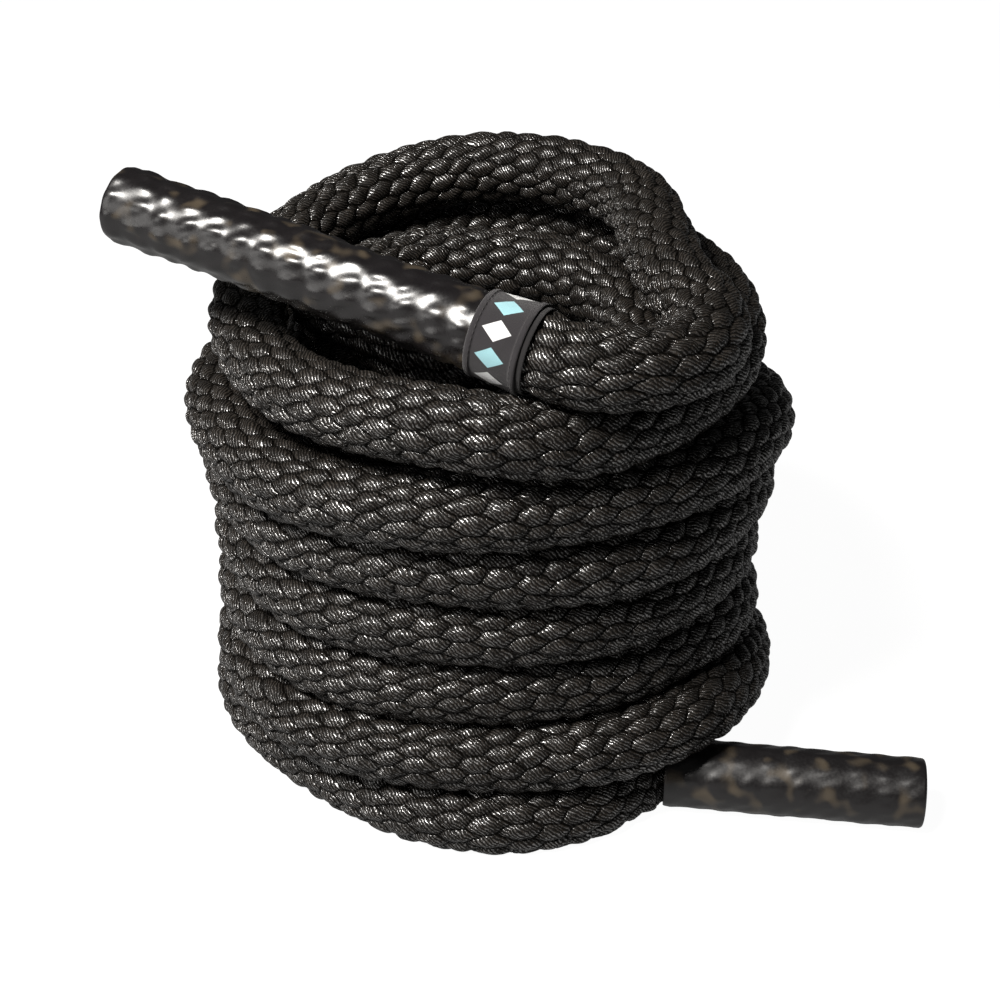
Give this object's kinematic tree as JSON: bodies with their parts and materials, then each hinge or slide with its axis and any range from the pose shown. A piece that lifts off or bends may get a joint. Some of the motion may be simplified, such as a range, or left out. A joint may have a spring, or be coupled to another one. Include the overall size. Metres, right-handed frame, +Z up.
{
  "type": "battle rope",
  "caption": "Heavy braided training rope coiled into a tall stack, with a black shrink-sleeved grip at each end and a label strap on the upper one",
  "frame": {"origin": "on the floor, under the middle of the whole part's box", "axes": "+Z up, +X towards the lower handle along the part's longest extent, +Y from the front, where the upper handle's strap is, to the back"},
  "size_m": [0.444, 0.3412, 0.3551],
  "materials": {
    "rope": "braided polyester yarn, near black",
    "sleeve": "glossy heat-shrunk sleeve",
    "end_cap": "moulded, satin",
    "binding": "cloth tape",
    "strap": "woven, hemmed, charcoal",
    "lining": "knitted backing"
  },
  "bodies": {
    "coil": {"rope_coil": "rope", "lower_rope_end": "rope", "lower_sleeve": "sleeve", "lower_end_cap": "end_cap", "lower_rope_binding": "binding"},
    "upper_handle": {"upper_rope_end": "rope", "upper_sleeve": "sleeve", "upper_end_cap": "end_cap", "upper_rope_binding": "binding", "strap_lining": "lining", "label_strap": "strap"}
  },
  "joints": [
    {"name": "upper_handle_lift", "type": "hinge", "parent": "coil", "child": "upper_handle", "pos_m": [0.00898, -0.14404, 0.31232], "axis": [0.4099, 0.9121, 0], "range_deg": [0, 45]}
  ]
}
